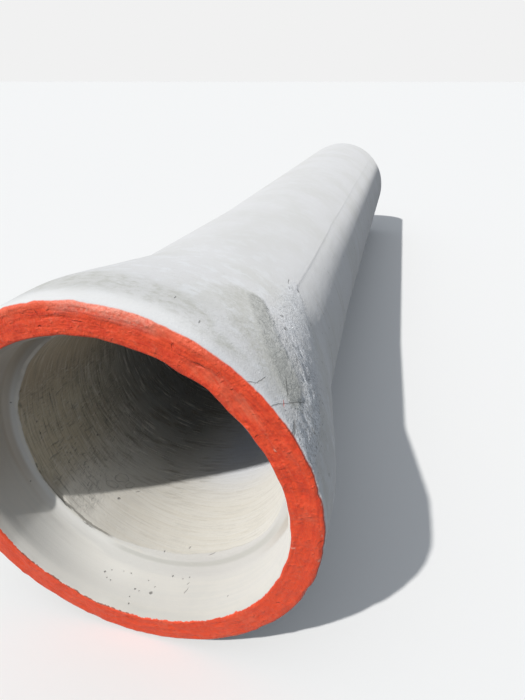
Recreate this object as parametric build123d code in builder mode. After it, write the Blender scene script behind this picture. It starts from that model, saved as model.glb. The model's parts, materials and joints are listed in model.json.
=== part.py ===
"""Concrete culvert pipe: one cast length with a socket at one end and a plain spigot at the other.

The pipe lies on a level floor as it would by itself, touching it with the shoulder of its socket
and with the rim of its spigot, so its axis dips a little towards the spigot.
+Y runs from the mouth of the socket to the spigot, +Z is up, and the origin is on the floor,
under the middle of the pipe. The section is given as distance along the axis and radius.
"""

import os
from math import asin, atan2, cos, sin, tan

from build123d import *

# Driving sizes, in millimetres
pipe_length = 5160.0
bore_radius = 400.0
barrel_wall = 65.0

# Outside of the socket and the flare that joins it to the barrel
bell_radius = 581.0
bell_straight = 205.0
flare_length = 530.0
neck_rise = 26.0
neck_draft = 1015.0

# Inside of the socket, from its mouth to the bore
mouth_radius = 494.0
socket_gap = 15.0
lead_in_depth = 30.0
socket_depth = 178.0
step_depth = 13.0
lip_rise = 41.0
throat_length = 400.0

# Roundings of the edges and bends
mouth_rim_round = 14.0
mouth_edge_round = 7.0
shoulder_round = 350.0
neck_round = 900.0
draft_round = 3000.0
spigot_rim_round = 10.0
spigot_edge_round = 5.0
throat_round = 1800.0
lip_round = 12.0
cove_round = 28.0
lead_in_round = 40.0

# Sizes that follow from them
barrel_radius = bore_radius + barrel_wall
neck_radius = barrel_radius + neck_rise
socket_radius = barrel_radius + socket_gap
lip_radius = bore_radius + lip_rise
lip_depth = socket_depth + step_depth
flare_end = bell_straight + flare_length

# Corners of the section, each with the radius that rounds it, once around from the mouth's outer rim
section = [
    ((0, bell_radius), mouth_rim_round),
    ((bell_straight, bell_radius), shoulder_round),
    ((flare_end, neck_radius), neck_round),
    ((flare_end + neck_draft, barrel_radius), draft_round),
    ((pipe_length, barrel_radius), spigot_rim_round),
    ((pipe_length, bore_radius), spigot_edge_round),
    ((lip_depth + throat_length, bore_radius), throat_round),
    ((lip_depth, lip_radius), lip_round),
    ((socket_depth, socket_radius), cove_round),
    ((lead_in_depth, socket_radius), lead_in_round),
    ((0, mouth_radius), mouth_edge_round),
]

# Centres of the three rounded corners that the pipe's reach depends on
flare_angle = atan2(bell_radius - neck_radius, flare_length)
shoulder_centre = (bell_straight - shoulder_round * tan(flare_angle / 2), bell_radius - shoulder_round)
mouth_rim_centre = (mouth_rim_round, bell_radius - mouth_rim_round)
spigot_rim_centre = (pipe_length - spigot_rim_round, barrel_radius - spigot_rim_round)


def reach(centre, rounding, direction):
    """How far a rounded corner reaches from the axis's start, along a direction in the section."""
    return centre[0] * direction[0] + centre[1] * direction[1] + rounding


# Dip of the axis at which the shoulder and the spigot's rim touch one level floor
contact_run = Vector(spigot_rim_centre) - Vector(shoulder_centre)
contact_step = shoulder_round - spigot_rim_round
dip = asin(contact_step / contact_run.length) - atan2(contact_run.Y, contact_run.X)

axis_height = reach(shoulder_centre, shoulder_round, (sin(dip), cos(dip)))
mouth_reach = reach(mouth_rim_centre, mouth_rim_round, (-cos(dip), sin(dip)))
spigot_reach = reach(spigot_rim_centre, spigot_rim_round, (cos(dip), sin(dip)))
axis_start = (0, (mouth_reach - spigot_reach) / 2, axis_height)
axis_direction = (0, cos(dip), -sin(dip))
section_plane = Plane(origin=axis_start, x_dir=axis_direction, z_dir=(1, 0, 0))

# The pipe: its section turned once about its own axis
with BuildPart() as culvert_pipe:
    with BuildSketch(section_plane):
        with BuildLine():
            FilletPolyline(
                *[corner for corner, rounding in section],
                radius=[rounding for corner, rounding in section],
                close=True,
            )
        make_face()
    revolve(axis=Axis(axis_start, axis_direction))

culvert_pipe.part.label = "culvert_pipe"

os.makedirs("parts", exist_ok=True)
export_step(culvert_pipe.part, "parts/culvert_pipe.step")
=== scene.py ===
"""Concrete culvert pipe: the finish of one cast length, lying on a level floor.

One closed mesh shows the whole casting. It is a grid: one way goes round the pipe's own axis, and
the other goes once around the section, from the middle of the spigot's end face through the bore to
the mouth and back along the outside. Relief moves the surface along its own normal.
Lengths are metres and angles degrees. A place on the pipe is given by its turn, which is 0 at the
right of somebody who looks into the socket and 90 on top, and by how far along the axis it lies
from the plane of the mouth. The run is the distance along the section, which is 0 in the middle of
the mouth's outer rim, grows along the outside and is negative over the end face and inside.
"""

import json
from math import degrees, radians

import bpy
import numpy as np
from mathutils import Matrix, Vector


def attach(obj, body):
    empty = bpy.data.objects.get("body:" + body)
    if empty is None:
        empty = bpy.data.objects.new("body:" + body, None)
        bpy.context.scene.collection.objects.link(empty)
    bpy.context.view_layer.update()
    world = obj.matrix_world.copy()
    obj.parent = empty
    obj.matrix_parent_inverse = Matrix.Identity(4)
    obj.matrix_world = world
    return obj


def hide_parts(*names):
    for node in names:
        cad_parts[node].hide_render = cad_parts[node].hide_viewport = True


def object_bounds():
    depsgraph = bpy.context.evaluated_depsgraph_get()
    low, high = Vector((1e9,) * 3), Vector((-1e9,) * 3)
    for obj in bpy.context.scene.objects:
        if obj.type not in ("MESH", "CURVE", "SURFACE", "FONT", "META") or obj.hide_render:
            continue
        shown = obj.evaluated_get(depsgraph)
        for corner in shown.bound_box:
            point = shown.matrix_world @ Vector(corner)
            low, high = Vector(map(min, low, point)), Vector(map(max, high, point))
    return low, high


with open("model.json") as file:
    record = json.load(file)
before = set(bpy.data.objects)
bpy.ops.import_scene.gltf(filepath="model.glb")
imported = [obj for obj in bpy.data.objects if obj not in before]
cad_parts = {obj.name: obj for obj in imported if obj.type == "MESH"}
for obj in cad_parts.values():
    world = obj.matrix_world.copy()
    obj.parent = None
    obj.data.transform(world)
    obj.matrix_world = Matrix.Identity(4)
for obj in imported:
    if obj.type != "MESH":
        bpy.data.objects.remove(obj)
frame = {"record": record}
cad_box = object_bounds()

NODE = "culvert_pipe"

# Section of the pipe: each corner's distance along the axis, radius and rounding
section = {
    "spigot edge": (5.160, 0.400, 0.005),
    "throat end": (0.591, 0.400, 1.800),
    "lip": (0.191, 0.441, 0.012),
    "cove": (0.178, 0.480, 0.028),
    "lead-in": (0.030, 0.480, 0.040),
    "mouth edge": (0.000, 0.494, 0.007),
    "mouth rim": (0.000, 0.581, 0.014),
    "shoulder": (0.205, 0.581, 0.350),
    "neck": (0.735, 0.491, 0.900),
    "draft end": (1.750, 0.465, 3.000),
    "spigot rim": (5.160, 0.465, 0.010),
}

# Spacing of the grid's rows: a corner, how much further along the section, and the spacing there
spacings = [
    ("spigot edge", 0.00, 0.0035),
    ("spigot edge", 0.15, 0.100),
    ("throat end", -1.60, 0.090),
    ("throat end", -0.45, 0.020),
    ("throat end", 0.00, 0.012),
    ("lip", -0.10, 0.0080),
    ("lip", -0.02, 0.0045),
    ("lip", 0.02, 0.0045),
    ("cove", 0.00, 0.0050),
    ("cove", 0.05, 0.0080),
    ("lead-in", 0.00, 0.0060),
    ("mouth edge", 0.00, 0.0024),
    ("mouth edge", 0.02, 0.0042),
    ("mouth rim", -0.02, 0.0042),
    ("mouth rim", 0.00, 0.0028),
    ("mouth rim", 0.02, 0.0060),
    ("shoulder", 0.00, 0.0080),
    ("neck", 0.00, 0.0085),
    ("neck", 0.30, 0.020),
    ("draft end", 0.00, 0.050),
    ("spigot rim", -0.15, 0.090),
    ("spigot rim", 0.00, 0.0035),
]
end_spacing = 0.009
most_points = 99500

# Columns of the grid: how many, where the first lies, and how much closer together than elsewhere they
# are over the torn side and, within that reach, at a parting line
columns = 256
first_turn = -90.0
torn_turns = (14, 60)
torn_extra = 1.5
parting_extra = 3.5
parting_reach = 0.9

# The mould's two parting lines
parting_turns = (46.5, 226.5)

# Where the photograph was taken from
camera_place = Vector((0.6457, -3.4256, 1.5952))
camera_heading = 14.805
camera_pitch = 28.96
camera_roll = 0.136
camera_lens = 25.516
sensor_height = 36.0

# Light: one soft key over the left shoulder, and a fill from all round that is stronger overhead
key_direction = Vector((0.380, 0.537, -0.754))
key_strength = 2.72
key_spread = 1.4
key_tint = (1.02, 1.00, 0.975)
fill_low = (0.122, 0.163, 0.216, 1.0)
fill_overhead = (0.440, 0.460, 0.490, 1.0)
backdrop_level = 0.88
floor_shown = (0.90, 0.90, 0.89, 1.0)
floor_bounce = (0.21, 0.21, 0.205, 1.0)


def on_axis():
    """The middle of the mouth and the axis's direction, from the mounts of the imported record."""
    mounts = {mount["name"]: mount for mount in frame["record"]["mounts"]}
    direction = np.array(mounts["spigot"]["axis"], float)
    inside = np.array(mounts["waterway"]["pos_m"], float)
    face = np.array(mounts["mouth_face"]["pos_m"], float)
    return inside + direction * np.dot(face - inside, direction), direction


mouth_middle, axis = on_axis()
side = np.array([1.0, 0.0, 0.0])
upward = np.cross(side, axis)


def smooth(value, low, high):
    """0 below low, 1 above high, and 3t^2 - 2t^3 between them. With low above high it falls."""
    t = np.clip((value - low) / (high - low), 0, 1)
    return t * t * (3 - 2 * t)


def window(value, low, high, soft):
    """1 between low and high, and 0 beyond them by more than soft."""
    return smooth(value, low - soft, low) * smooth(value, high + soft, high)


def hump(value, width):
    """A bell curve: 1 where the value is 0, and 1/e where it is the width."""
    return np.exp(-((value / width) ** 2))


def leaned(first, second, lean):
    """Two axes, or a place's distances along them, turned by that many degrees from the first towards
    the second: first cos + second sin, and second cos - first sin."""
    cosine = float(np.cos(radians(lean)))
    sine = float(np.sin(radians(lean)))
    return first * cosine + second * sine, second * cosine - first * sine


def stacked(*parts):
    """Arrays that broadcast together as one array, whose last axis holds a value of each."""
    return np.stack(np.broadcast_arrays(*parts), axis=-1)


def noise(points, size, seed):
    """Smooth noise from -1 to 1: random values on a cubic lattice of the given size, blended between
    the eight lattice points around each place with the weights 3t^2 - 2t^3."""
    repeat = 32
    lattice = np.random.default_rng(seed).uniform(-1, 1, (repeat,) * 3)
    cell = points / size
    low = np.floor(cell).astype(int)
    t = cell - low
    t = t * t * (3 - 2 * t)
    total = 0
    for corner in np.ndindex(2, 2, 2):
        index = (low + corner) % repeat
        weight = np.where(corner, t, 1 - t).prod(axis=-1)
        total = total + weight * lattice[index[..., 0], index[..., 1], index[..., 2]]
    return total


def rounded_section():
    """The closed section as complex numbers, along + i radius, and the place of each corner's middle.
    A corner is an arc that touches both of its sides: it starts rounding / tan(half the corner's
    angle) before the corner, and each point is the centre plus the first spoke, turned."""
    arc_points = 33
    corners = [complex(along, radius) for along, radius, _ in section.values()]
    start = (corners[0] + corners[-1]) / 2
    points = [start]
    middles = {}
    for number, (name, (_, _, rounding)) in enumerate(section.items()):
        here = corners[number]
        back = corners[number - 1] - here
        ahead = corners[(number + 1) % len(corners)] - here
        back, ahead = back / abs(back), ahead / abs(ahead)
        half = abs(np.angle(ahead / back)) / 2
        centre = here + (back + ahead) / abs(back + ahead) * rounding / np.sin(half)
        spoke = here + back * rounding / np.tan(half) - centre
        last_spoke = here + ahead * rounding / np.tan(half) - centre
        sweep = np.angle(last_spoke / spoke)
        arc = centre + spoke * np.exp(1j * sweep * np.linspace(0, 1, arc_points))
        middles[name] = arc[arc_points // 2]
        points.extend(arc)
    points.append(start)
    return np.array(points), middles


def complex_interp(value, known, points):
    """Complex numbers, read off between known ones."""
    return np.interp(value, known, points.real) + 1j * np.interp(value, known, points.imag)


def section_rows():
    """The grid's rows: along, radius, run and the section's outward normal, and each corner's run.
    The rows are evenly spaced in the integral of 1 / spacing over the run."""
    points, middles = rounded_section()
    lengths = np.concatenate([[0], np.cumsum(abs(np.diff(points)))])
    runs = {name: lengths[np.argmin(abs(points - middle))] for name, middle in middles.items()}
    whole = lengths[-1]
    fine = np.linspace(0, whole, 40001)
    places = [0] + [runs[name] + further for name, further, _ in spacings] + [whole]
    sizes = [end_spacing] + [size for _, _, size in spacings] + [end_spacing]
    count = np.concatenate([[0], np.cumsum(np.diff(fine) / np.interp(fine[1:], places, sizes))])
    rows = min(int(count[-1]), most_points // columns)
    run = np.interp(np.linspace(0, count[-1], rows + 1)[:-1], count, fine)
    line = complex_interp(run, lengths, points)
    ahead = complex_interp(run + 1e-4, lengths, points)
    normal = 1j * (ahead - line) / abs(ahead - line)
    origin = runs["mouth rim"]
    runs = {name: value - origin for name, value in runs.items()}
    runs["end"] = whole - origin
    return line.real, line.imag, run - origin, normal, runs


along, radius, run, normal, corner_run = section_rows()
rows = len(run)
lip_run = corner_run["lip"]
cove_run = corner_run["cove"]
mouth_edge_run = corner_run["mouth edge"]
spigot_rim_run = corner_run["spigot rim"]
spigot_edge_run = corner_run["spigot edge"]


def column_turns():
    """The turns of the grid's columns, closer together over the torn side and at the parting lines:
    evenly spaced in the integral of the wanted density."""
    fine = np.linspace(first_turn, first_turn + 360, 7201)
    density = 1 + torn_extra * window(fine, *torn_turns, 12)
    for parting in parting_turns:
        density = density + parting_extra * hump(fine - parting, parting_reach)
    total = np.concatenate([[0], np.cumsum((density[1:] + density[:-1]) / 2)])
    return np.interp(np.linspace(0, total[-1], columns + 1), total, fine)


# The grid: turns in a row, and along, radius, run and normal in columns
turn_edges = column_turns()
turn = turn_edges[:-1][None, :]
along = along[:, None]
radius = radius[:, None]
run = run[:, None]
normal = normal[:, None]
zero_across = 0 * along

turn_cos = np.cos(np.radians(turn))
turn_sin = np.sin(np.radians(turn))
spokes = turn_cos[..., None] * side + turn_sin[..., None] * upward


def ring_noise(reach, across, seed):
    """Noise that is drawn out round the pipe: over the turn's cosine and sine times reach, and
    whatever goes across the streaks."""
    return noise(stacked(reach * turn_cos, reach * turn_sin, across), 1.0, seed)


def arc_from(spot_turn):
    """Distance round the pipe from a turn, at each place of the grid."""
    return np.radians(turn - spot_turn) * radius


def strip(spots):
    """How far each place lies from a line over the surface, in half-widths of the line. Each spot is a
    turn, an along and a half-width, and between two spots the half-width changes evenly."""
    nearest = np.full((rows, columns), 1e3)
    for (turn_a, along_a, wide_a), (turn_b, along_b, wide_b) in zip(spots, spots[1:]):
        arc = arc_from(turn_a)
        up = along - along_a
        arc_ab = radians(turn_b - turn_a) * radius
        up_ab = along_b - along_a
        share = np.clip((arc * arc_ab + up * up_ab) / (arc_ab**2 + up_ab**2), 0, 1)
        gap = np.hypot(arc - share * arc_ab, up - share * up_ab)
        nearest = np.minimum(nearest, gap / (wide_a + (wide_b - wide_a) * share))
    return nearest


def dent(spot_turn, spot_along, length, width, lean):
    """1 in the middle of a long dent and 0 outside it: a bell curve over an ellipse of that length and
    width, which leans by that many degrees from the way round the pipe towards the spigot."""
    down_length, down_width = leaned(arc_from(spot_turn), along - spot_along, lean)
    return np.exp(-((down_length / length) ** 2) - (down_width / width) ** 2)


def dents(places):
    """The depth of all the dents of a list, each as deep as its last number says."""
    return sum(depth * dent(*place) for *place, depth in places)


# Rough, torn side of the socket: turn, along and half-width down its middle, then the lean of its
# ridges and its mean radius
rough_line = [
    (48.5, 0.815, 0.018),
    (46.5, 0.745, 0.046),
    (44.5, 0.670, 0.074),
    (41.5, 0.585, 0.104),
    (38.8, 0.504, 0.120),
    (36.0, 0.385, 0.096),
    (32.6, 0.262, 0.060),
    (29.6, 0.180, 0.052),
    (28.6, 0.085, 0.068),
    (27.0, 0.020, 0.062),
]
rough_lean = -22.0
torn_radius = 0.53

# Mortar smeared over the top right of the socket
smear_line = [
    (57.6, 0.405, 0.034),
    (54.2, 0.332, 0.040),
    (50.0, 0.248, 0.045),
    (45.2, 0.180, 0.050),
    (40.0, 0.142, 0.054),
    (36.2, 0.112, 0.042),
]

# The hazy film that the mortar left on its upper side
haze_line = [
    (61.0, 0.385, 0.050),
    (58.5, 0.300, 0.085),
    (53.5, 0.205, 0.085),
    (47.0, 0.150, 0.070),
    (41.0, 0.105, 0.045),
]

# Olive stains on the socket: turn, along, length, width, lean
stain_places = [
    (81.0, 0.125, 0.100, 0.050, 0),
    (73.5, 0.120, 0.070, 0.045, 0),
    (66.0, 0.100, 0.050, 0.040, 0),
    (95.0, 0.150, 0.100, 0.060, 0),
    (57.0, 0.060, 0.070, 0.030, 0),
    (112.0, 0.160, 0.140, 0.060, 0),
    (205.0, 0.150, 0.150, 0.060, 10),
    (330.0, 0.220, 0.160, 0.070, -8),
    (258.0, 0.160, 0.200, 0.080, 0),
]

# Gouges and scuffs in the bore: turn, along, length, width, lean, depth
bore_dents = [
    (200.5, 0.280, 0.030, 0.006, 82, 0.0030),
    (196.0, 0.303, 0.030, 0.006, 80, 0.0028),
    (187.0, 0.430, 0.030, 0.014, 30, 0.0026),
    (213.5, 0.414, 0.020, 0.008, 30, 0.0028),
    (232.5, 0.385, 0.016, 0.012, 0, 0.0022),
    (244.0, 0.507, 0.030, 0.010, 15, 0.0020),
]

# Mean radius of the scratched part of the bore
throat_radius = 0.42

# Chips just behind the lip: turn, along, length, width, lean, depth
lip_dents = [
    (158.8, 0.200, 0.009, 0.006, 0, 0.0045),
    (166.5, 0.203, 0.013, 0.007, 10, 0.0055),
    (198.0, 0.197, 0.012, 0.005, 0, 0.0045),
    (201.8, 0.197, 0.012, 0.005, 0, 0.0045),
    (220.0, 0.194, 0.020, 0.005, 0, 0.0030),
    (235.0, 0.190, 0.024, 0.005, 0, 0.0030),
]

# Mortar in the cove: the turns that it lies between, and how far past the lip it ends on the riser
fill_turns = (254.0, 332.0)
fill_rise = 0.0135

# Hollow behind the lip: its turns and how far along it ends at each, and its depth
hollow_turns = (196.0, 203.0, 208.0, 213.0, 217.0, 223.0)
hollow_ends = (0.197, 0.212, 0.235, 0.219, 0.205, 0.192)
hollow_depth = 0.0085

# Low places of the mouth's inner edge, where the paint's edge runs straighter: turn, half-width, depth
edge_dips = [
    (63.0, 3.5, 0.0050),
    (54.0, 2.6, -0.0030),
    (45.5, 3.0, 0.0045),
    (36.0, 4.0, 0.0025),
    (238.0, 8.0, 0.0035),
    (255.0, 5.0, -0.0035),
]

rough_gap = strip(rough_line)
smear_gap = strip(smear_line)
haze_gap = strip(haze_line)

# Seam behind the lip: how far along it lies, and where it is broken
seam_along = 0.197 + 0.017 * smooth(np.cos(np.radians(turn - 288)), 0.75, 0.97)
seam_along = seam_along + 0.004 * ring_noise(6.0, zero_across, 74)
seam_broken = ring_noise(14.0, zero_across, 75)

# Where each relief lies: outside, round the socket, on the painted end, in the socket and in the bore
outside = smooth(run, 0.004, 0.016) * smooth(run, spigot_rim_run, spigot_rim_run - 0.03)
bell = outside * smooth(along, 1.2, 0.5)
face = window(run, mouth_edge_run + 0.004, -0.006, 0.006)
socket = window(run, cove_run, mouth_edge_run - 0.006, 0.01)
bore = smooth(run, lip_run, lip_run - 0.03) * (run < lip_run)
fill_edge = lip_run + fill_rise

# The hollow, 1 where it is deepest: between its turns, up to its end and behind the lip
hollow_end = np.interp(turn % 360, hollow_turns, hollow_ends)
hollow = window(turn % 360, hollow_turns[1], hollow_turns[-2], 6)
hollow = hollow * smooth(along, hollow_end + 0.006, hollow_end - 0.003)
hollow = hollow * smooth(run, lip_run - 0.001, lip_run - 0.007)


def casting_points(relief):
    """Points of the casting: the middle of the mouth, plus along times the axis, plus radius times the
    spoke at that turn, plus relief times the surface's normal."""
    far = (along + relief * normal.real)[..., None] * axis
    out = (radius + relief * normal.imag)[..., None] * spokes
    return mouth_middle + far + out


plain = casting_points(np.zeros((rows, columns)))


def outside_relief():
    """Slow waves of the cast wall, faint trowel marks round the socket, and a finer grain."""
    waves = 0.0012 * noise(plain, 0.26, 1) + 0.0006 * noise(plain, 0.09, 2)
    trowel = 0.0004 * ring_noise(2.5, along / 0.035, 3)
    grain = 0.00025 * noise(plain, 0.02, 4)
    return outside * (0.22 * waves + grain) + bell * (0.78 * waves + trowel)


def parting_relief():
    """A thin broken ridge with a small step along each wandering parting line, from the neck to the
    spigot: a bell curve, and a tanh that fades away, over the distance from the line."""
    line = stacked(along, zero_across, zero_across)
    total = 0
    for number, parting in enumerate(parting_turns):
        gap = arc_from(parting) + 0.003 * noise(line, 0.4, 10 + number)
        broken = 0.55 + 0.45 * noise(line, 0.06, 20 + number)
        ridge = 0.0009 * hump(gap, 0.0060) * broken
        step = 0.0004 * np.tanh(gap / 0.005) * hump(gap, 0.06)
        total = total + (ridge + step) * smooth(along, 0.66, 0.82)
    return total * outside


def rough_relief():
    """Torn concrete: short ridges that lean across the strip, with open crevices between them,
    shallower towards the barrel."""
    down, across = leaned(arc_from(0), along, rough_lean)
    tear = noise(stacked(down / 0.028, across / 0.014, zero_across), 1.0, 30)
    tear = tear + 0.8 * noise(plain, 0.016, 31)
    crevices = 0.0013 * smooth(-tear, 0.25, 0.85)
    edge = rough_gap + 0.55 * noise(plain, 0.060, 32)
    depth = 0.35 + 0.65 * smooth(along, 0.50, 0.34)
    return smooth(edge, 1.10, 0.45) * outside * depth * (0.0011 * tear - crevices + 0.0003)


def smear_relief():
    """A thin raised skin of mortar with a grainy face."""
    skin = smooth(smear_gap + 0.25 * noise(plain, 0.03, 40), 1.15, 0.75)
    return skin * outside * (0.0012 + 0.0008 * noise(plain, 0.016, 41))


def face_relief():
    """Brush strokes round the painted end, lumps under them and a few open pits."""
    strokes = 0.0007 * ring_noise(7.0, radius / 0.011, 50)
    lumps = 0.0017 * noise(plain, 0.036, 51) + 0.0014 * noise(plain, 0.014, 52)
    pits = 0.0030 * smooth(-noise(plain, 0.016, 53), 0.50, 0.8)
    return face * (strokes + lumps - pits)


def socket_relief():
    """Nearly smooth, with faint turned lines. Low down, mortar fills the cove as a bell curve over
    the run, up to a small step on the riser."""
    waves = 0.0007 * noise(plain, 0.13, 60)
    lines = 0.0003 * ring_noise(2.0, along / 0.016, 61)
    low_down = window(turn % 360, *fill_turns, 14)
    bulge = 0.0078 * hump(run - cove_run, 0.021)
    fill = bulge * smooth(run, fill_edge - 0.005, fill_edge + 0.004) * low_down
    return socket * (waves + lines) + fill


def bore_relief():
    """Turned lines of the mould's core in two long families that cross at a small angle, patches where
    they are rougher, a seam behind the lip with a hollow at it, and gouges."""
    tilt = np.sin(np.radians(turn - 20))
    lines = ring_noise(2.0, (along + 0.05 * tilt) / 0.022, 70)
    crossing = ring_noise(2.4, (along - 0.07 * tilt) / 0.030, 71)
    patch = smooth(noise(plain, 0.22, 72), -0.35, 0.35)
    rough = 0.0006 * noise(plain, 0.030, 73) * patch
    deep = smooth(along, 0.34, 0.60)
    total = 0.0006 * lines + 0.0014 * crossing * deep + 0.0004 * crossing + rough
    seam = hump(along - seam_along, 0.005) * smooth(seam_broken, -0.20, 0.40)
    total = total * smooth(along, seam_along - 0.006, seam_along + 0.010) - 0.0014 * seam
    return bore * (total - dents(bore_dents)) - hollow_depth * hollow


def lip_relief():
    """Chips behind the lip."""
    return -dents(lip_dents) * (run < cove_run)


def spigot_relief():
    """The struck end face: low ripples, and small chips round its outer edge."""
    end_face = smooth(run, spigot_rim_run, spigot_rim_run + 0.008)
    end_face = end_face + smooth(run, spigot_edge_run, spigot_edge_run - 0.006)
    ripples = 0.0012 * noise(plain, 0.034, 90) + 0.0007 * noise(plain, 0.013, 91)
    rim = hump(run - spigot_rim_run, 0.012)
    rim_chips = smooth(ring_noise(22.0, zero_across, 92), 0.30, 0.75)
    return end_face * (ripples - 0.0012) - 0.0045 * rim * rim_chips


def edge_wobble():
    """How far the mouth's edges and the lip move outwards from the axis: slow and quick noise round
    the ring, the dips of the inner edge and the chips of the outer one, each fading away from its
    edge as a bell curve."""
    slow = ring_noise(4.5, zero_across, 80)
    quick = ring_noise(16.0, zero_across, 81)
    dips = sum(depth * hump(turn - dip_turn, half_width) for dip_turn, half_width, depth in edge_dips)
    inner = hump(run - mouth_edge_run, 0.022)
    outer = hump(run, 0.016)
    lip = hump(run - lip_run, 0.018)
    outer_chips = smooth(ring_noise(30.0, zero_across, 82), 0.35, 0.75)
    return (
        inner * (0.0030 * slow + 0.0016 * quick - dips)
        - outer * (0.0008 + 0.0012 * quick + 0.0030 * outer_chips)
        + lip * (0.0018 * slow + 0.0010 * quick)
    )


def casting():
    """The whole casting as one closed mesh inside the solid's box, with its map of turn and run and the
    masks of its marks, some of which drive painted shade."""
    relief = outside_relief() + parting_relief() + rough_relief() + smear_relief()
    relief = relief + face_relief() + socket_relief() + bore_relief() + lip_relief() + spigot_relief()
    points = casting_points(relief) + edge_wobble()[..., None] * spokes
    points = np.clip(points, cad_box[0], cad_box[1])

    row = np.arange(rows)[:, None]
    column = np.arange(columns)[None, :]
    next_row = (row + 1) % rows
    next_column = (column + 1) % columns
    corners = [(row, column), (next_row, column), (next_row, next_column), (row, next_column)]
    faces = stacked(*[r * columns + c for r, c in corners]).reshape(-1, 4)
    mesh = bpy.data.meshes.new("culvert_pipe_casting")
    mesh.from_pydata(points.reshape(-1, 3), [], faces.tolist())

    run_edges = np.append(run[:, 0], corner_run["end"])
    turn_shares = (turn_edges - first_turn) / 360
    corners = [(row, column), (row + 1, column), (row + 1, column + 1), (row, column + 1)]
    surface = np.stack([stacked(turn_shares[c], run_edges[r]) for r, c in corners], axis=2)
    mesh.uv_layers.new(name="surface").data.foreach_set("uv", surface.ravel())

    wear_and_shade_masks = {
        "rough": rough_gap,
        "smear": smear_gap,
        "haze": haze_gap,
        "relief": relief,
        "stain": sum(dent(*place) for place in stain_places) * outside,
        "seam": seam_along,
        "hollow": hollow,
    }
    most_stored = 4  # past this many half-widths, a strip's distance makes no difference
    for name, values in wear_and_shade_masks.items():
        layer = mesh.attributes.new(name, "FLOAT", "POINT")
        layer.data.foreach_set("value", np.minimum(values, most_stored).astype(np.float32).ravel())
    mesh.polygons.foreach_set("use_smooth", np.ones(len(faces), bool))
    mesh.update()
    piece = bpy.data.objects.new("culvert_pipe_casting", mesh)
    bpy.context.collection.objects.link(piece)
    return piece


class Wire:
    """A socket that carries a value over the surface. Arithmetic on it adds the Math nodes for it."""

    def __init__(self, tree, socket):
        self.tree = tree
        self.socket = socket

    def node(self, kind, settings, inputs, output=0):
        """A node of that kind: its settings first, then the values or wires of its sockets."""
        made = self.tree.nodes.new(kind)
        for name, value in settings.items():
            setattr(made, name, value)
        for name, value in inputs.items():
            if isinstance(value, Wire):
                self.tree.links.new(value.socket, made.inputs[name])
            else:
                made.inputs[name].default_value = value
        return Wire(self.tree, made.outputs[output] if made.outputs else None)

    def math(self, operation, *values):
        return self.node("ShaderNodeMath", {"operation": operation}, dict(enumerate(values)))

    def __add__(self, other):
        return self.math("ADD", self, other)

    def __sub__(self, other):
        return self.math("SUBTRACT", self, other)

    def __mul__(self, other):
        return self.math("MULTIPLY", self, other)

    def __truediv__(self, other):
        return self.math("DIVIDE", self, other)

    def __radd__(self, other):
        return self.math("ADD", other, self)

    def __rsub__(self, other):
        return self.math("SUBTRACT", other, self)

    def __rmul__(self, other):
        return self.math("MULTIPLY", other, self)

    def largest(self, other):
        return self.math("MAXIMUM", self, other)

    def smooth(self, low, high):
        """0 below low, 1 above high, smooth between. With low above high it falls."""
        rising = low < high
        ends = {"From Min": min(low, high), "From Max": max(low, high)}
        levels = {"To Min": 0.0 if rising else 1.0, "To Max": 1.0 if rising else 0.0}
        settings = {"interpolation_type": "SMOOTHSTEP"}
        return self.node("ShaderNodeMapRange", settings, {"Value": self, **ends, **levels})

    def window(self, low, high, soft):
        """1 between low and high, and 0 beyond them by more than soft."""
        return self.smooth(low - soft, low) * self.smooth(high + soft, high)

    def noise(self, size, detail=2.0, roughness=0.5, distortion=0.0):
        """Noise of that size in metres over this vector, about 0.5."""
        inputs = {"Vector": self, "Scale": 1 / size, "Detail": detail}
        inputs = {**inputs, "Roughness": roughness, "Distortion": distortion}
        return self.node("ShaderNodeTexNoise", {"noise_dimensions": "3D"}, inputs)

    def vector(self, operation, other, output=0):
        return self.node("ShaderNodeVectorMath", {"operation": operation}, {0: self, 1: other}, output)

    def part(self, index):
        return self.node("ShaderNodeSeparateXYZ", {}, {0: self}, index)


def join(x, y, z):
    """A vector from three wires or numbers, at least the first a wire."""
    return x.node("ShaderNodeCombineXYZ", {}, {0: x, 1: y, 2: z})


def blend(share, first, second, kind="MIX"):
    """A colour between two: the first where the share is 0, and the second where it is 1."""
    settings = {"data_type": "RGBA", "blend_type": kind}
    return share.node("ShaderNodeMix", settings, {0: share, 6: first, 7: second}, 2)


def tone(red, green, blue):
    """A colour from its screen values of 0 to 255, made linear."""
    screen = np.array([red, green, blue]) / 255
    linear = np.where(screen <= 0.04045, screen / 12.92, ((screen + 0.055) / 1.055) ** 2.4)
    return (*[float(value) for value in linear], 1.0)


# Colours
pale_concrete = tone(217, 217, 217)
grey_concrete = tone(206, 206, 202)
cement_bloom = tone(226, 228, 230)
top_sunlit_white = tone(240, 240, 239)
ridge_highlight_white = tone(236, 239, 243)
olive_stain = tone(182, 182, 172)
mortar = tone(200, 201, 196)
dark_mortar = tone(160, 161, 155)
crevice_shade = tone(164, 171, 179)
socket_cream = tone(219, 216, 209)
upper_left_shade = tone(168, 158, 144)
low_left_sunlit_cream = tone(240, 237, 229)
low_left_sunlit_white = tone(250, 248, 242)
riser_cream = tone(214, 212, 208)
riser_white = tone(228, 227, 223)
highlight_cream = tone(230, 227, 219)
bore_cream = tone(222, 219, 211)
bore_olive = tone(200, 189, 164)
shade_brown = tone(168, 150, 124)
deep_shade_grey = tone(146, 146, 142)
skylight_grey = tone(214, 219, 231)
furrow_shade_brown = tone(128, 122, 108)
struck_grey = tone(183, 183, 179)
seepage = tone(196, 193, 184)
recess_shade = tone(92, 88, 80)
edge_shadow = tone(92, 90, 78)
road_dust = tone(190, 178, 158)
red_paint = tone(245, 86, 50)
deep_paint = tone(206, 52, 32)
salmon_paint = tone(244, 124, 92)
scuffed_paint = tone(246, 176, 156)
paint_shadow = tone(122, 46, 38)

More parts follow.
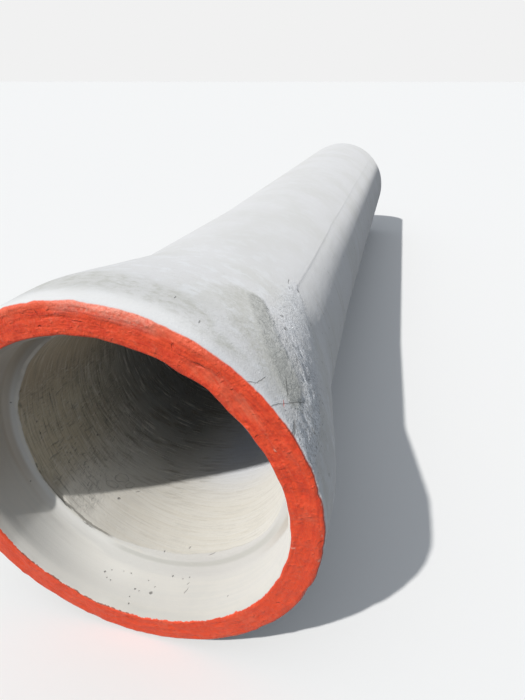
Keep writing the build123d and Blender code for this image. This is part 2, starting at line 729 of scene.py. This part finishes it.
# Bug holes in the socket and the bore: turn, along and size
pits = [
    (251.5, 0.096, 0.0030),
    (253.5, 0.111, 0.0020),
    (253.3, 0.081, 0.0018),
    (255.2, 0.078, 0.0022),
    (258.0, 0.123, 0.0018),
    (261.2, 0.126, 0.0022),
    (265.8, 0.078, 0.0032),
    (267.8, 0.075, 0.0020),
    (265.5, 0.048, 0.0022),
    (266.3, 0.027, 0.0024),
    (269.2, 0.120, 0.0018),
    (273.0, 0.102, 0.0022),
    (272.8, 0.078, 0.0050),
    (278.2, 0.152, 0.0030),
    (283.0, 0.147, 0.0022),
    (285.8, 0.152, 0.0022),
    (308.2, 0.063, 0.0024),
    (164.8, 0.185, 0.0030),
    (203.2, 0.172, 0.0026),
    (208.5, 0.468, 0.0050),
    (239.0, 0.334, 0.0050),
    (180.2, 0.259, 0.0044),
    (186.5, 0.259, 0.0044),
]

# Long marks inside: turn, along, half-length, half-width, lean
gouges = [
    (286.8, 0.102, 0.013, 0.0022, 78),
    (286.4, 0.130, 0.006, 0.0020, 70),
    (173.0, 0.334, 0.024, 0.0022, 6),
    (178.0, 0.340, 0.018, 0.0020, -4),
    (187.0, 0.430, 0.014, 0.0060, 30),
    (194.0, 0.390, 0.020, 0.0022, 84),
    (202.5, 0.455, 0.018, 0.0022, 84),
    (200.5, 0.276, 0.026, 0.0034, 82),
    (196.0, 0.300, 0.024, 0.0030, 80),
    (210.0, 0.368, 0.014, 0.0026, 60),
    (245.2, 0.399, 0.010, 0.0024, 40),
    (221.2, 0.423, 0.007, 0.0046, 20),
]

# Swirls in the bore, each shown by its rim: turn, along, half-length, half-width, lean
swirls = [
    (231.8, 0.366, 0.022, 0.0130, 20),
    (234.0, 0.412, 0.026, 0.0150, 35),
    (239.5, 0.405, 0.016, 0.0090, 60),
    (213.5, 0.414, 0.020, 0.0110, 30),
]

# Chips behind the lip and along the seam: turn, along, half-length, half-width, lean
chips = [
    (158.8, 0.202, 0.007, 0.0036, 0),
    (166.5, 0.205, 0.013, 0.0050, 10),
    (198.0, 0.199, 0.010, 0.0040, 0),
    (201.8, 0.199, 0.010, 0.0040, 0),
    (221.5, 0.194, 0.022, 0.0026, 0),
    (234.8, 0.190, 0.026, 0.0024, 0),
    (296.0, 0.212, 0.014, 0.0018, 20),
    (283.0, 0.238, 0.005, 0.0026, 80),
    (271.8, 0.214, 0.004, 0.0026, 80),
]

# Cracks in the outside near the mouth, each a run of places: turn and along
cracks = [
    [(48.7, 0.004), (46.6, 0.022), (45.4, 0.062)],
    [(41.0, 0.004), (39.6, 0.030), (38.0, 0.055), (36.2, 0.082), (33.0, 0.134)],
]
crack_half_width = 0.0013

# Paint that ran into a crack: turn, along, half-length, half-width, lean
paint_drops = [(38.4, 0.050, 0.011, 0.0018, 66)]

# Marks of the outside: turn, along, half-length, half-width, lean
nicks = [
    (45.2, 0.792, 0.007, 0.0040, 60),
    (48.2, 0.430, 0.005, 0.0030, 30),
    (45.5, 0.368, 0.005, 0.0040, 60),
    (51.0, 0.790, 0.020, 0.0016, 80),
    (39.4, 0.108, 0.030, 0.0016, 64),
    (52.8, 0.395, 0.004, 0.0024, 0),
    (64.5, 0.082, 0.007, 0.0020, 75),
    (49.5, 0.745, 0.010, 0.0016, 70),
    (73.0, 0.135, 0.006, 0.0018, 80),
    (47.8, 0.439, 0.006, 0.0034, 40),
    (45.2, 0.377, 0.009, 0.0028, 75),
    (43.8, 0.300, 0.006, 0.0034, 60),
    (39.2, 0.268, 0.022, 0.0022, 72),
    (34.2, 0.661, 0.010, 0.0030, 60),
    (33.0, 0.022, 0.026, 0.0060, 70),
]

# Wrinkles of the painted end: turn, radius, half-length, half-width, lean
paint_wrinkles = [
    (101.5, 0.544, 0.014, 0.0026, 66),
    (102.2, 0.518, 0.004, 0.0040, 0),
    (91.0, 0.531, 0.016, 0.0022, 0),
    (66.4, 0.544, 0.010, 0.0030, 60),
    (59.3, 0.536, 0.016, 0.0036, -10),
    (36.0, 0.502, 0.006, 0.0030, 50),
    (330.5, 0.535, 0.007, 0.0034, 30),
]

# Scuffs through the paint: turn, radius, half-length, half-width, lean
paint_scuffs = [
    (85.5, 0.572, 0.070, 0.0100, -6),
    (76.0, 0.560, 0.024, 0.0060, -10),
    (12.2, 0.576, 0.006, 0.0030, 0),
    (2.2, 0.572, 0.007, 0.0030, 0),
    (356.2, 0.503, 0.007, 0.0030, 80),
    (353.5, 0.573, 0.008, 0.0030, 0),
    (30.5, 0.521, 0.010, 0.0026, -20),
]

# Thin, brushed-out paint: turn, radius, half-length, half-width, lean
thin_paint = [
    (56.0, 0.528, 0.055, 0.018, -4),
    (45.0, 0.522, 0.060, 0.020, 0),
    (70.0, 0.560, 0.040, 0.014, -8),
]

# Where some finishes lie: the turns, or the places along, that they show between. Turns run from -90
# to 270, so the line at the edge of the mortar has a stretch at both ends
under_lip_shade_turns = (207, 243)
scratched_turns = (164, 222)
scratched_along = (0.25, 0.68)
scraped_along = (0.215, 0.290)
fill_line_turns = (-120, -28)
fill_line_end_turns = (256, 300)
film_turns = (62, 128)
bleed_turns = (76, 92)
lapped_turns = (-14, 34)
flake_turns = (222, 266)

# How far a mark fades past its edge, as a share of it, and how far in and out of the surface it reaches
mark_fade = 1.3
mark_depth = 0.03

# Shine of the finishes
concrete_roughness = 0.93
paint_roughness = 0.56
shine_level = 0.35
dusty_sheen = 0.25


def on_section(where, reach):
    """The section's along and radius, and the way ahead, as complex numbers, where the inside or the
    outside has that along, or where the end face has that radius."""
    flat_run = run[:, 0]
    parts = {
        "inside": flat_run < mouth_edge_run,
        "face": (flat_run > mouth_edge_run) & (flat_run < 0),
        "outside": flat_run > 0,
    }
    here = parts[where]
    key = radius[here, 0] if where == "face" else along[here, 0]
    order = np.argsort(key)
    line = along[here, 0] + 1j * radius[here, 0]
    place = complex_interp(reach, key[order], line[order])
    outward = complex_interp(reach, key[order], normal[here, 0][order])
    ahead = outward / 1j
    return place, -ahead if where == "inside" else ahead


def mark_frame(where, mark_turn, reach, lean):
    """A mark's middle, and the turns of its own axes: along its length, which leans by that many
    degrees from the way round the pipe, across it, and out of the surface."""
    place, ahead = on_section(where, reach)
    spoke, around = leaned(side, upward, mark_turn)
    middle = mouth_middle + place.real * axis + place.imag * spoke
    onward = ahead.real * axis + ahead.imag * spoke
    down_length, across = leaned(around, onward, lean)
    axes = Matrix([list(down_length), list(across), list(np.cross(down_length, across))])
    return tuple(middle), tuple(axes.transposed().to_euler())


def marks(place, where, places):
    """1 in the middle of each long mark, falling evenly to 0 a little past its edge: the place seen
    from the mark's middle, with the mark's length, width and thickness each made 1."""
    total = None
    for mark_turn, reach, length, width, lean in places:
        middle, turned = mark_frame(where, mark_turn, reach, lean)
        scale = (mark_fade * length, mark_fade * width, mark_depth)
        inputs = {"Vector": place, "Location": middle, "Rotation": turned, "Scale": scale}
        local = place.node("ShaderNodeMapping", {"vector_type": "TEXTURE"}, inputs)
        settings = {"gradient_type": "SPHERICAL"}
        share = local.node("ShaderNodeTexGradient", settings, {"Vector": local}, "Fac")
        total = share if total is None else total.largest(share)
    return total


def crack_marks():
    """Each straight stretch of each crack as one long thin mark, a little longer than it is, so that
    it meets the next."""
    overlap = 1.25
    found = []
    for crack in cracks:
        for (turn_a, along_a), (turn_b, along_b) in zip(crack, crack[1:]):
            arc = radians(turn_b - turn_a) * section["mouth rim"][1]
            half = np.hypot(arc, along_b - along_a) / 2 * overlap
            lean = degrees(np.arctan2(along_b - along_a, arc))
            middle = ((turn_a + turn_b) / 2, (along_a + along_b) / 2)
            found.append((*middle, float(half), crack_half_width, lean))
    return found


def surface_wires(tree):
    """The wires that the finishes are worked out from: place, along, radius, turn and run, the spoke's
    two shares, and two noises that the finishes share, from Object coordinates and the surface map."""
    start = Wire(tree, None)
    place = start.node("ShaderNodeTexCoord", {}, {}, "Object")
    from_mouth = place.vector("SUBTRACT", tuple(mouth_middle))
    flat = join(from_mouth.part(0), from_mouth.vector("DOT_PRODUCT", tuple(upward), "Value"), 0.0)
    spoke = flat.vector("NORMALIZE", (0, 0, 0))
    surface = start.node("ShaderNodeUVMap", {"uv_map": "surface"}, {}, "UV")
    return {
        "place": place,
        "along": from_mouth.vector("DOT_PRODUCT", tuple(axis), "Value"),
        "radius": flat.vector("LENGTH", (0, 0, 0), "Value"),
        "turn": surface.part(0) * 360.0 + first_turn,
        "run": surface.part(1),
        "cos": spoke.part(0),
        "sin": spoke.part(1),
        "mottle": place.noise(0.055, 5.0, 0.6),
        "sand": place.noise(0.0045, 2.0, 0.6),
    }


def stored(wires, name):
    """A value that the mesh stores at its points."""
    return wires["place"].node("ShaderNodeAttribute", {"attribute_name": name}, {}, "Fac")


def streaks(wires, reach, across, detail=2.0, roughness=0.55):
    """Noise drawn out round the pipe: over the spoke's shares times reach, and what goes across."""
    return join(wires["cos"] * reach, wires["sin"] * reach, across).noise(1.0, detail, roughness)


def streaks_down(wires):
    """Noise drawn out up and down, as water runs: over the height and the distance along the pipe."""
    place = wires["place"]
    drawn_out = join(place.part(2) / 0.35, place.part(1) / 0.050, place.part(0) / 0.8)
    return drawn_out.noise(1.0, 3.0, 0.6, 0.4)


def warped(place, size, reach):
    """The place, moved by noise of that size by up to about reach."""
    inputs = {"Vector": place, "Scale": 1 / size, "Detail": 1.0}
    drift = place.node("ShaderNodeTexNoise", {}, inputs, "Color")
    drift = drift.vector("SUBTRACT", (0.5, 0.5, 0.5)).vector("MULTIPLY", (2 * reach,) * 3)
    return place.vector("ADD", drift)


def struck_end(w, colour):
    """The colour, greyer and mottled over the end face of the spigot."""
    end_along = section["spigot rim"][0]
    end_face = w["along"].smooth(end_along - 0.0065, end_along - 0.0025)
    return blend(end_face * (w["mottle"] * 0.9 + 0.25), colour, struck_grey)


def weathered_and_sunlit(w, near_mouth):
    """Colour of the outside under its marks: faint clouds, faint runs down the flanks, a paler band
    beside the paint, a painted highlight on top near the paint, and olive stains."""
    mottle = w["mottle"]
    clouds = w["place"].noise(0.30, 3.0, 0.5).smooth(0.40, 0.68)
    colour = blend(clouds * (near_mouth * 0.30 + 0.50), pale_concrete, grey_concrete)
    colour = blend(mottle.smooth(0.46, 0.66) * (near_mouth * 0.45 + 0.20), colour, cement_bloom)
    runs = streaks_down(w).smooth(0.52, 0.72) * w["sin"].window(-0.75, 0.55, 0.25)
    colour = blend(runs * 0.40, colour, seepage)
    speckle = streaks(w, 20.0, w["along"] / 0.016, 4.0, 0.7)
    colour = blend(speckle.smooth(0.54, 0.70) * near_mouth * 0.20, colour, olive_stain)
    rim_band = w["run"].window(0.004, 0.016, 0.014)
    colour = blend(rim_band * 0.6, colour, cement_bloom)
    # Painted highlight: the top of the outside just beyond the paint is made paler, as if lit more
    sunny = w["run"].smooth(0.110, 0.030) * w["sin"].smooth(0.80, 0.97)
    colour = blend(sunny * 0.8, colour, top_sunlit_white)
    stain = stored(w, "stain").smooth(0.0, 1.1)
    broken = (mottle * 0.55 + speckle * 0.45).smooth(0.42, 0.62)
    return blend(stain * (broken * 0.60 + 0.12), colour, olive_stain)


def smeared(w, colour, ragged):
    """The colour with the haze and the smear of mortar over it, and the smear's height. The middle of
    the smear is scraped thin."""
    grain = w["place"].noise(0.014, 4.0, 0.75)
    haze = (stored(w, "haze") + ragged * 1.1).smooth(1.40, 0.35)
    colour = blend(haze * (grain.smooth(0.36, 0.60) * 0.45 + 0.20), colour, olive_stain)
    smear = (stored(w, "smear") + ragged * 0.6).smooth(1.20, 0.55)
    mortar_tone = blend((grain * 0.6 + w["sand"] * 0.4).smooth(0.40, 0.64), dark_mortar, mortar)
    patchy = (grain * 0.5 + w["mottle"] * 0.5).smooth(0.40, 0.56)
    scraped = w["along"].window(*scraped_along, 0.05) * patchy
    colour = blend(smear * (0.92 - scraped * 0.45), colour, mortar_tone)
    return colour, smear * grain * 0.0022


def torn(w, colour, ragged):
    """The colour with the torn side over it: ridges that lean across it under a white painted
    highlight, painted shade in the crevices between them and in the pocks round it, all fainter towards
    the barrel. Then its height, its pocks, and a share that is 1 over it and fades away beside it."""
    gap = stored(w, "rough")
    rough = (gap + ragged * 0.6).smooth(1.08, 0.55)
    sharp = w["along"].smooth(0.47, 0.25) * 0.7 + 0.3
    near_rough = gap.smooth(2.2, 0.8) * sharp
    arc = w["turn"] * (radians(1) * torn_radius)
    down, across = leaned(arc, w["along"], rough_lean)
    tear = join(down / 0.0105, across / 0.0062, 0.0).noise(1.0, 3.0, 0.7, 0.5)
    crevice = tear.smooth(0.46, 0.34) * rough * sharp
    # Painted highlight on the raised ridges, and painted shade in the crevices between them
    colour = blend(tear.smooth(0.42, 0.56) * rough * (sharp * 0.55 + 0.30), colour, ridge_highlight_white)
    colour = blend(crevice * 0.42, colour, crevice_shade)
    # Painted shade in the pocks
    pocks = w["place"].noise(0.0085, 1.0).smooth(0.66, 0.74) * near_rough
    colour = blend(pocks * 0.55, colour, recess_shade)
    return colour, rough * sharp * tear * 0.0050, pocks, near_rough


def outside_finish(w):
    """Colour and height of the bare outside: the stained wall with its painted highlight, the smear and
    the torn side, and over them painted shade in nicks, in cracks (one with a drop of paint), in low
    places and in air holes, and dust near the floor."""
    place, mottle, sand = w["place"], w["mottle"], w["sand"]
    near_mouth = w["along"].smooth(1.1, 0.3)
    ragged = (place.noise(0.030, 4.0, 0.7) - 0.5) * 1.7
    colour = weathered_and_sunlit(w, near_mouth)
    colour, smear_height = smeared(w, colour, ragged)
    colour, torn_height, pocks, near_rough = torn(w, colour, ragged)

    fine = warped(place, 0.012, 0.0022)
    nick = marks(fine, "outside", nicks).smooth(0.0, 0.5)
    crack = marks(fine, "outside", crack_marks()).smooth(0.0, 0.5)
    # Painted shade in nicks and cracks
    colour = blend(nick * 0.55 + crack * 0.45, colour, recess_shade)
    drop = marks(fine, "outside", paint_drops).smooth(0.0, 0.5)
    colour = blend(drop * 0.7, colour, red_paint)
    # Painted shade in the low places of the relief
    low_place_shade = stored(w, "relief").smooth(-0.0022, -0.0060)
    colour = blend(low_place_shade * 0.5, colour, crevice_shade)
    # Painted shade in small air holes, fewer on top
    holes = place.noise(0.016, 0.0).smooth(0.800, 0.835) * w["sin"].smooth(0.75, 0.35)
    colour = blend(holes * 0.45, colour, recess_shade)
    dust = place.part(2).smooth(0.10, 0.0) * mottle.smooth(0.35, 0.65)
    colour = blend(dust * 0.7, colour, road_dust)

    grain = place.noise(0.010, 3.0, 0.65)
    grain_height = near_rough * 0.0026 + near_mouth * 0.0010 + 0.0003
    height = mottle * 0.0007 + sand * 0.0005 + grain * grain_height
    height = height + torn_height + smear_height - pocks * 0.0012
    height = height - (nick + crack) * 0.0016 - holes * 0.0020
    return struck_end(w, colour), height


def socket_tone(w, left, lines):
    """Colour of the socket's wall and of the riser: cream with faint lines, painted shade browner at
    the upper left and painted light paler at the lower left, with a line of painted shade in the cove,
    a painted highlight along the lip, and low down a line at the edge of the mortar."""
    mottle = w["mottle"]
    lined = lines.smooth(0.35, 0.70) * 0.35 + mottle.smooth(0.4, 0.7) * 0.2
    wall = blend(lined, socket_cream, grey_concrete)
    # Painted shade: the upper left of the wall, which lies in shade, is browner and darker
    wall = blend(w["sin"].smooth(-0.72, 0.25) * left * 0.95, wall, upper_left_shade)
    # Painted light: the lower left of the wall, where the light falls, is paler
    low = w["sin"].window(-0.97, -0.62, 0.08)
    wall = blend(low * left * (w["along"].smooth(0.04, 0.12) * 0.55 + 0.35), wall, low_left_sunlit_white)

    cove_radius = section["cove"][1]
    riser = w["radius"].smooth(cove_radius + 0.002, cove_radius - 0.004)
    riser_tone = blend(left, riser_cream, riser_white)
    # Painted shade: the riser's upper left is browner
    riser_tone = blend(w["sin"].smooth(0.20, 0.75) * left * 0.65, riser_tone, upper_left_shade)
    wall = blend(riser * 0.95, wall, riser_tone)

    # Painted shade in the cove between the wall and the riser
    cove_line = w["run"].window(cove_run - 0.008, cove_run + 0.006, 0.014)
    wall = blend(cove_line * w["sin"].smooth(-0.7, -0.2) * 0.42, wall, shade_brown)
    fill_line = w["run"].window(fill_edge - 0.003, fill_edge + 0.003, 0.009)
    low_down = w["turn"].window(*fill_line_turns, 12) + w["turn"].window(*fill_line_end_turns, 12)
    wall = blend(fill_line * low_down * 0.36, wall, olive_stain)
    # Painted highlight along the rounded edge of the lip
    lip_highlight = w["run"].window(lip_run - 0.001, lip_run + 0.005, 0.005)
    return blend(lip_highlight * left * mottle.smooth(0.38, 0.60) * 0.6, wall, highlight_cream)


def bore_tone(w, left, rings, strokes, above):
    """Colour of the bore: cream, with painted shade browner at the upper left, painted sky light bluish
    further in on the right, painted shade grey further in on the left and brown overhead, painted light
    paler at the lower left, and fine strokes of painted shade and painted highlight."""
    upper = w["sin"].smooth(-0.80, -0.30)
    # Painted shade: the upper left, which lies in shade, is browner; the rings' share is the bore's own
    # tone
    bored = blend(upper * left * 0.85 + rings.smooth(0.35, 0.70) * 0.15, bore_cream, bore_olive)
    # Painted sky light: bluish further in on the right
    bored = blend(w["along"].smooth(0.40, 0.75) * (1.0 - left), bored, skylight_grey)
    # Painted shade: greyer and darker further in, most on the left
    bored = blend(w["along"].smooth(0.30, 0.90) * (left * left * 0.85 + 0.15), bored, deep_shade_grey)
    # Painted shade: browner overhead
    bored = blend(w["sin"].smooth(-0.05, 0.50) * 0.75, bored, shade_brown)
    # Painted light: paler at the lower left near the mouth, where the light falls
    low_left = w["sin"].window(-0.80, -0.62, 0.10) * left
    bored = blend(low_left * w["along"].smooth(0.44, 0.24) * 0.70, bored, low_left_sunlit_cream)
    # Fine strokes: painted shade where they are low and painted highlight where they are high
    bored = blend(strokes.smooth(0.50, 0.34) * (above * 0.38 + 0.12), bored, furrow_shade_brown)
    return blend(strokes.smooth(0.52, 0.70) * above * 0.40, bored, highlight_cream)


def inside_marks(w, colour, rings):
    """The colour with painted shade in the marks of the inside, and how deep they are: bug holes,
    chips, gouges, and swirls, each a line round its mark that the turned lines bend."""
    rough = warped(w["place"], 0.014, 0.0034)
    round_pits = [(pit_turn, reach, size, size, 0) for pit_turn, reach, size in pits]
    hole = marks(rough, "inside", round_pits).smooth(0.0, 0.55)
    gouge = marks(rough, "inside", gouges).smooth(0.0, 0.6)
    chip = marks(rough, "inside", chips).smooth(0.0, 0.6)
    swirl = marks(warped(w["place"], 0.018, 0.007), "inside", swirls)
    swirl = (swirl * 2.0 + rings * 0.6).window(0.60, 0.72, 0.12) * swirl.smooth(0.0, 0.15)
    # Painted shade in bug holes, chips, gouges and the rims of swirls
    colour = blend(hole * 0.65 + chip * 0.45, colour, recess_shade)
    colour = blend(gouge * 0.36 + swirl * 0.32, colour, recess_shade)
    return colour, (hole + chip) * 0.0030 + gouge * 0.0030 + swirl * 0.0018


def scratched(w, colour, worked, patchy):
    """The colour with tangled scratches over the worked side of the bore, and their height: painted
    shade where they are scored, and painted highlight where they are raised."""
    arc = w["turn"] * (radians(1) * throat_radius)
    scratch = join(arc / 0.0075 + w["along"] / 0.060, w["along"] / 0.026, 0.0)
    scratch = scratch.noise(1.0, 3.0, 0.7, 0.8)
    scored = scratch.smooth(0.45, 0.33) * worked * patchy
    raised = scratch.smooth(0.55, 0.65) * worked * patchy
    # Painted shade in the scored scratches and painted highlight on the raised ones
    colour = blend(scored * 0.55, colour, recess_shade)
    return blend(raised * 0.50, colour, highlight_cream), (raised - scored) * 0.0020


def inside_finish(w):
    """Colour and height of the inside: the socket up to the ragged seam behind the lip, and the bore
    after it, with turned ridges under painted highlights and furrows under painted shade deep in on the
    left, painted shade in a hollow and in the gap behind the lip, marks and scratches."""
    place = w["place"]
    left = w["cos"].smooth(0.45, -0.35)
    lines = streaks(w, 1.6, w["along"] / 0.012, 1.0, 0.5)
    rings = streaks(w, 1.8, (w["along"] + w["cos"] * 0.04) / 0.0075, 1.0, 0.5)
    crossing = (w["along"] - w["cos"] * 0.05 + w["sin"] * 0.02) / 0.0125
    wide_rings = streaks(w, 3.2, crossing, 2.0, 0.6)
    strokes = streaks(w, 4.0, (w["along"] + w["cos"] * 0.05) / 0.0062, 3.0, 0.65)
    broken = place.noise(0.10, 3.0, 0.55)
    deep = w["along"].smooth(0.34, 0.60)
    ringed = deep * left * w["sin"].smooth(0.45, 0.0)
    furrow = wide_rings.smooth(0.49, 0.34) * broken.smooth(0.36, 0.52) * ringed
    ridge = wide_rings.smooth(0.54, 0.66) * broken.smooth(0.36, 0.54) * ringed
    above = w["sin"].smooth(-0.86, -0.55) * left * w["along"].smooth(1.10, 0.55)
    seam = w["along"] - stored(w, "seam") + (place.noise(0.02, 3.0, 0.6) - 0.5) * 0.008
    in_bore = seam.smooth(-0.002, 0.004)

    # Painted highlight on the turned ridges
    bored = blend(ridge * 0.60, bore_tone(w, left, rings, strokes, above), highlight_cream)
    colour = blend(in_bore, socket_tone(w, left, lines), bored)
    # Painted shade in the hollow behind the lip
    colour = blend(stored(w, "hollow") * 0.18, colour, recess_shade)
    # Painted shade in the furrows
    colour = blend(furrow * in_bore * 0.62, colour, furrow_shade_brown)
    # Painted shade in the gap just behind the lip at the lower left
    under_lip_shade = w["turn"].window(*under_lip_shade_turns, 5) * seam.window(-0.0035, 0.0005, 0.0025)
    colour = blend(under_lip_shade * 0.70, colour, furrow_shade_brown)
    colour, mark_depths = inside_marks(w, colour, rings)
    worked = w["turn"].window(*scratched_turns, 14) * w["along"].window(*scratched_along, 0.08)
    worked = worked * in_bore
    patchy = broken.smooth(0.38, 0.54) * 0.75 + 0.25
    colour, scratch_height = scratched(w, colour, worked, patchy)

    scraped = place.noise(0.014, 3.0, 0.65)
    bore_height = rings * 0.0011 + wide_rings * (ringed * 0.0018 + deep * 0.0005 + 0.0005)
    bore_height = bore_height + scraped * (patchy * 0.0014 + worked * 0.0020 + 0.0005)
    bore_height = bore_height + strokes * (above * 0.0007 + 0.0005) + (ridge - furrow) * 0.0024
    height = w["sand"] * 0.0003 + lines * 0.0006 + in_bore * bore_height
    return struck_end(w, colour), height + scratch_height - mark_depths


def paint_finish(w):
    """Colour, height, share and brush strokes of the paint: strokes round the ring and leaning across
    it, lumps, pools, thin and scuffed places and wrinkles with painted shade in them, evener low down,
    between two wandering edges. On top a thin film runs over the outer edge, at the right the paint
    laps over it with a painted shadow line under the lap, and along the lower left of the inner edge
    a painted shadow shows the dark gap under a flake."""
    place = w["place"]
    slow = place.noise(0.055, 3.0, 0.55) - 0.5
    quick = place.noise(0.014, 3.0, 0.65) - 0.5
    over_rim = slow * 0.008 + quick * 0.0035
    brushed = w["sin"].smooth(-0.1, -0.7)
    over_edge = slow * 0.008 + quick * (0.003 + brushed * 0.009)
    outer_edge = (w["run"] + over_rim).smooth(0.0060, 0.0010)
    from_edge = w["run"] + over_edge - mouth_edge_run
    inner_edge = from_edge.smooth(-0.0042, -0.0014)

    leaning = w["cos"] * w["radius"] + w["sin"] * w["radius"] * 0.55
    brush = streaks(w, 7.0, w["radius"] / 0.0085, 2.0, 0.6)
    cross_brush = join(leaning / 0.012, w["radius"] / 0.030, w["sin"] * 3.0).noise(1.0, 2.0, 0.6)
    pools = place.noise(0.045, 4.0, 0.6)
    stipple = place.noise(0.0085, 3.0, 0.65)
    lumps = place.noise(0.018, 2.0, 0.5)
    clots = place.noise(0.0150, 1.0).smooth(0.56, 0.74) * pools.smooth(0.40, 0.60)
    scuff = marks(warped(place, 0.030, 0.008), "face", paint_scuffs).smooth(0.0, 0.5)
    scuff = scuff * stipple.smooth(0.36, 0.60)
    thin = marks(warped(place, 0.05, 0.014), "face", thin_paint).smooth(0.0, 0.6)
    wrinkle = marks(warped(place, 0.014, 0.0034), "face", paint_wrinkles).smooth(0.0, 0.6)
    brushy = w["sin"].smooth(-0.40, 0.80) * 0.6 + 0.4

    colour = blend(brush.smooth(0.40, 0.68) * (brushy * 0.30 + 0.18), red_paint, deep_paint)
    colour = blend(lumps.smooth(0.50, 0.34) * brushy * 0.36, colour, deep_paint)
    colour = blend(pools.smooth(0.50, 0.72) * 0.30, colour, salmon_paint)
    colour = blend(thin * cross_brush.smooth(0.25, 0.65) * 0.50, colour, salmon_paint)
    colour = blend((stipple * cross_brush).smooth(0.28, 0.42) * 0.32, colour, salmon_paint)
    # Painted shade in the creases of the wrinkles
    colour = blend(wrinkle * 0.30, colour, deep_paint)

    near_rim = (w["run"] + slow * 0.03 + quick * 0.010).smooth(-0.026, -0.002)
    colour = blend(w["turn"].window(*film_turns, 14) * near_rim * 0.42, colour, salmon_paint)
    bleed = w["turn"].window(*bleed_turns, 8) * (w["run"] + slow * 0.04).smooth(-0.040, -0.012)
    bleed = bleed * (stipple.smooth(0.30, 0.64) * 0.5 + 0.3)
    colour = blend(scuff.largest(bleed) * 0.62, colour, scuffed_paint)
    # Painted shadow under the edge where the paint laps over the rim
    lapped = w["turn"].window(*lapped_turns, 5) * (w["run"] + over_rim).window(0.0002, 0.0034, 0.0012)
    colour = blend(lapped * 0.65, colour, paint_shadow)
    flake = w["turn"].window(*flake_turns, 6) * quick.smooth(-0.10, 0.06)
    colour = blend(from_edge.smooth(0.0022, -0.0010) * flake * 0.75, colour, edge_shadow)

    height = (brush * 0.0026 + cross_brush * 0.0034) * brushy + pools * 0.0030
    height = height + stipple * 0.0024 + lumps.smooth(0.54, 0.70) * 0.0007
    height = height * (1.0 - thin * 0.4) - wrinkle * 0.0020 + clots * 0.0014
    return colour, height, outer_edge * inner_edge, brush


def coat(w, colour, height, roughness, dusty):
    """One finish as a shader: its colour and roughness, and its height in metres as bump. A dusty
    finish is as bright where the light grazes it as bare concrete is."""
    bump = w["place"].node("ShaderNodeBump", {}, {"Strength": 1.0, "Distance": 1.0, "Height": height})
    inputs = {"Base Color": colour, "Roughness": roughness, "Normal": bump}
    inputs = {**inputs, "Specular IOR Level": shine_level, "Diffuse Roughness": dusty}
    inputs = {**inputs, "Sheen Weight": dusty_sheen * dusty, "Sheen Roughness": 0.6}
    return w["place"].node("ShaderNodeBsdfPrincipled", {}, inputs)


def cast_concrete():
    """The finish of the whole casting: bare concrete, and the paint brushed over the socket's end."""
    material = bpy.data.materials.new("cast_concrete")
    material.use_nodes = True
    tree = material.node_tree
    tree.nodes.clear()
    w = surface_wires(tree)
    outer = coat(w, *outside_finish(w), concrete_roughness, 1.0)
    inner = coat(w, *inside_finish(w), concrete_roughness, 1.0)
    paint_colour, paint_height, painted, brush = paint_finish(w)
    paint = coat(w, paint_colour, paint_height, paint_roughness - brush * 0.12, 0.0)
    on_outside = w["run"].smooth(-0.004, 0.004)
    bare = on_outside.node("ShaderNodeMixShader", {}, {0: on_outside, 1: inner, 2: outer})
    whole = painted.node("ShaderNodeMixShader", {}, {0: painted, 1: bare, 2: paint})
    whole.node("ShaderNodeOutputMaterial", {}, {"Surface": whole})
    return material


def shown_rays(start):
    """1 for what the camera, a gloss or a glass sees, and 0 for light that the scene scatters."""
    rays = [start.node("ShaderNodeLightPath", {}, {}, name)
            for name in ("Is Camera Ray", "Is Glossy Ray", "Is Transmission Ray")]
    return rays[0].largest(rays[1]).largest(rays[2])


def floor():
    """A plain pale floor. Where the camera sees it, it is paler than the light that it sends back."""
    reach = 150.0
    corners = [(-reach, -reach, 0), (reach, -reach, 0), (reach, reach, 0), (-reach, reach, 0)]
    mesh = bpy.data.meshes.new("floor")
    mesh.from_pydata(corners, [], [(0, 1, 2, 3)])
    piece = bpy.data.objects.new("floor", mesh)
    bpy.context.collection.objects.link(piece)
    material = bpy.data.materials.new("pale_floor")
    material.use_nodes = True
    tree = material.node_tree
    tree.nodes.clear()
    shown = shown_rays(Wire(tree, None))
    colour = blend(shown, floor_bounce, floor_shown)
    shader = shown.node("ShaderNodeBsdfDiffuse", {}, {"Color": colour})
    shader.node("ShaderNodeOutputMaterial", {}, {"Surface": shader})
    mesh.materials.append(material)


def light():
    """The key light and the fill, whose world shows as a pale backdrop."""
    lamp = bpy.data.lights.new("key", "SUN")
    lamp.energy = key_strength
    lamp.color = key_tint
    lamp.angle = radians(key_spread)
    key = bpy.data.objects.new("key", lamp)
    key.rotation_euler = key_direction.to_track_quat("-Z", "Y").to_euler()
    key.location = -4 * key_direction
    bpy.context.collection.objects.link(key)
    world = bpy.data.worlds.new("studio")
    bpy.context.scene.world = world
    world.use_nodes = True
    tree = world.node_tree
    tree.nodes.clear()
    shown = shown_rays(Wire(tree, None))
    overhead = shown.node("ShaderNodeTexCoord", {}, {}, "Generated").part(2).smooth(0.0, 1.0)
    around = blend(overhead, fill_low, fill_overhead)
    backdrop = [backdrop_level] * 3 + [1.0]
    fill = shown.node("ShaderNodeBackground", {}, {"Color": blend(shown, around, backdrop)})
    fill.node("ShaderNodeOutputWorld", {}, {"Surface": fill})


def camera():
    """The camera: pitched down and turned to the left of the pipe's length."""
    lens = bpy.data.cameras.new("camera")
    lens.lens = camera_lens
    lens.sensor_width = sensor_height
    lens.clip_end = 500.0
    view = bpy.data.objects.new("camera", lens)
    turned = Matrix.Rotation(radians(camera_heading), 4, "Z")
    tipped = Matrix.Rotation(radians(90 - camera_pitch), 4, "X")
    rolled = Matrix.Rotation(radians(-camera_roll), 4, "Z")
    view.matrix_world = Matrix.Translation(camera_place) @ turned @ tipped @ rolled
    bpy.context.collection.objects.link(view)
    bpy.context.scene.camera = view


pipe = casting()
pipe.data.materials.append(cast_concrete())
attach(pipe, "root")
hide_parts(NODE)

floor()
light()
camera()
bpy.context.scene.view_settings.view_transform = "Standard"
